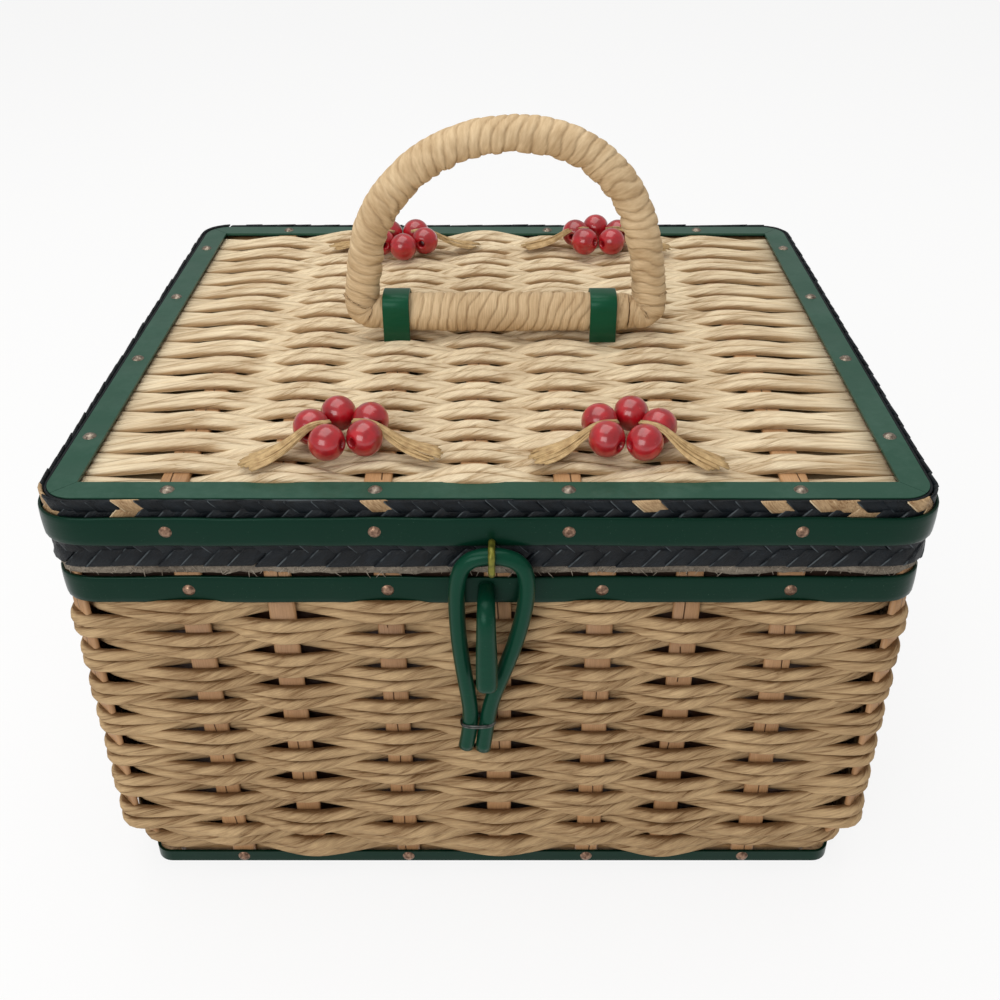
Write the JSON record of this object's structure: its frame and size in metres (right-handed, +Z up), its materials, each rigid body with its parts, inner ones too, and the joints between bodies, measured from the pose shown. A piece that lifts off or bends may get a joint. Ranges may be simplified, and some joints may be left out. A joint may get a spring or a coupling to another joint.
{
  "type": "sewing basket",
  "caption": "Woven sewing basket with a hinged flat lid, a folding wrapped handle, bead clusters on the lid and a loop-and-peg latch.",
  "frame": {"origin": "middle of the base board's flat underside", "axes": "+X to the right seen from the latch side, +Y from the latch to the hinges, +Z up"},
  "size_m": [0.2598, 0.2421, 0.2326],
  "materials": {
    "board_wood": "plain sanded wood",
    "stake_wood": "split willow, satin",
    "paper_cord": "twisted paper cord, matte",
    "green_plastic": "glossy green strip",
    "bronze_tack": "aged bronze",
    "lining_satin": "dark brown quilted satin",
    "lid_card": "plain card",
    "grey_felt": "frayed felt",
    "navy_straw": "plaited dyed straw",
    "cane": "cane",
    "red_bead": "glossy painted wood",
    "raffia": "dry raffia",
    "brass_wire": "brass wire",
    "tie_wire": "thin dark wire"
  },
  "bodies": {
    "basket": {"base_board": "board_wood", "base_band": "green_plastic", "base_tacks": "bronze_tack", "stakes_front": "stake_wood", "stakes_back": "stake_wood", "stakes_left": "stake_wood", "stakes_right": "stake_wood", "corner_stakes": "stake_wood", "weave_even_rows": "paper_cord", "weave_odd_rows": "paper_cord", "rim_band": "green_plastic", "rim_hoop": "board_wood", "rim_tacks": "bronze_tack", "lining_front": "lining_satin", "lining_back": "lining_satin", "lining_left": "lining_satin", "lining_right": "lining_satin", "lining_floor": "lining_satin", "latch_peg": "green_plastic", "hinge_bracket_left": "brass_wire", "hinge_bracket_right": "brass_wire"},
    "lid": {"lid_frame": "board_wood", "lid_stakes": "stake_wood", "lid_even_rows": "paper_cord", "lid_odd_rows": "paper_cord", "lid_board": "lid_card", "lid_felt": "grey_felt", "lid_cushion": "lining_satin", "top_band_front": "green_plastic", "top_band_back": "green_plastic", "top_band_left": "green_plastic", "top_band_right": "green_plastic", "top_tacks": "bronze_tack", "upper_braid": "navy_straw", "side_band": "green_plastic", "side_tacks": "bronze_tack", "lower_braid": "navy_straw", "handle_strap_left": "green_plastic", "handle_strap_right": "green_plastic", "beads_front_left": "red_bead", "beads_front_right": "red_bead", "beads_back_left": "red_bead", "beads_back_right": "red_bead", "leaves_front_left": "raffia", "leaves_front_right": "raffia", "leaves_back_left": "raffia", "leaves_back_right": "raffia", "latch_staple": "brass_wire", "hinge_eye_left": "brass_wire", "hinge_eye_right": "brass_wire"},
    "handle": {"handle_core": "cane", "handle_wrap": "paper_cord", "bar_wrap": "paper_cord"},
    "latch": {"latch_loop": "green_plastic", "latch_tie": "tie_wire"}
  },
  "joints": [
    {"name": "lid_hinge", "type": "hinge", "parent": "basket", "child": "lid", "pos_m": [0, 0.11455, 0.1295], "axis": [-1, 0, 0], "range_deg": [0, 100], "deforming": ["latch_loop", "latch_tie"]},
    {"name": "handle_swing", "type": "hinge", "parent": "lid", "child": "handle", "pos_m": [0, -0.003, 0.1646], "axis": [1, 0, 0], "range_deg": [-80, 80]},
    {"name": "latch_swing", "type": "hinge", "parent": "lid", "child": "latch", "pos_m": [0.001, -0.11685, 0.1396], "axis": [-1, 0, 0], "range_deg": [0, 100], "deforming": ["latch_loop", "latch_tie"]}
  ]
}
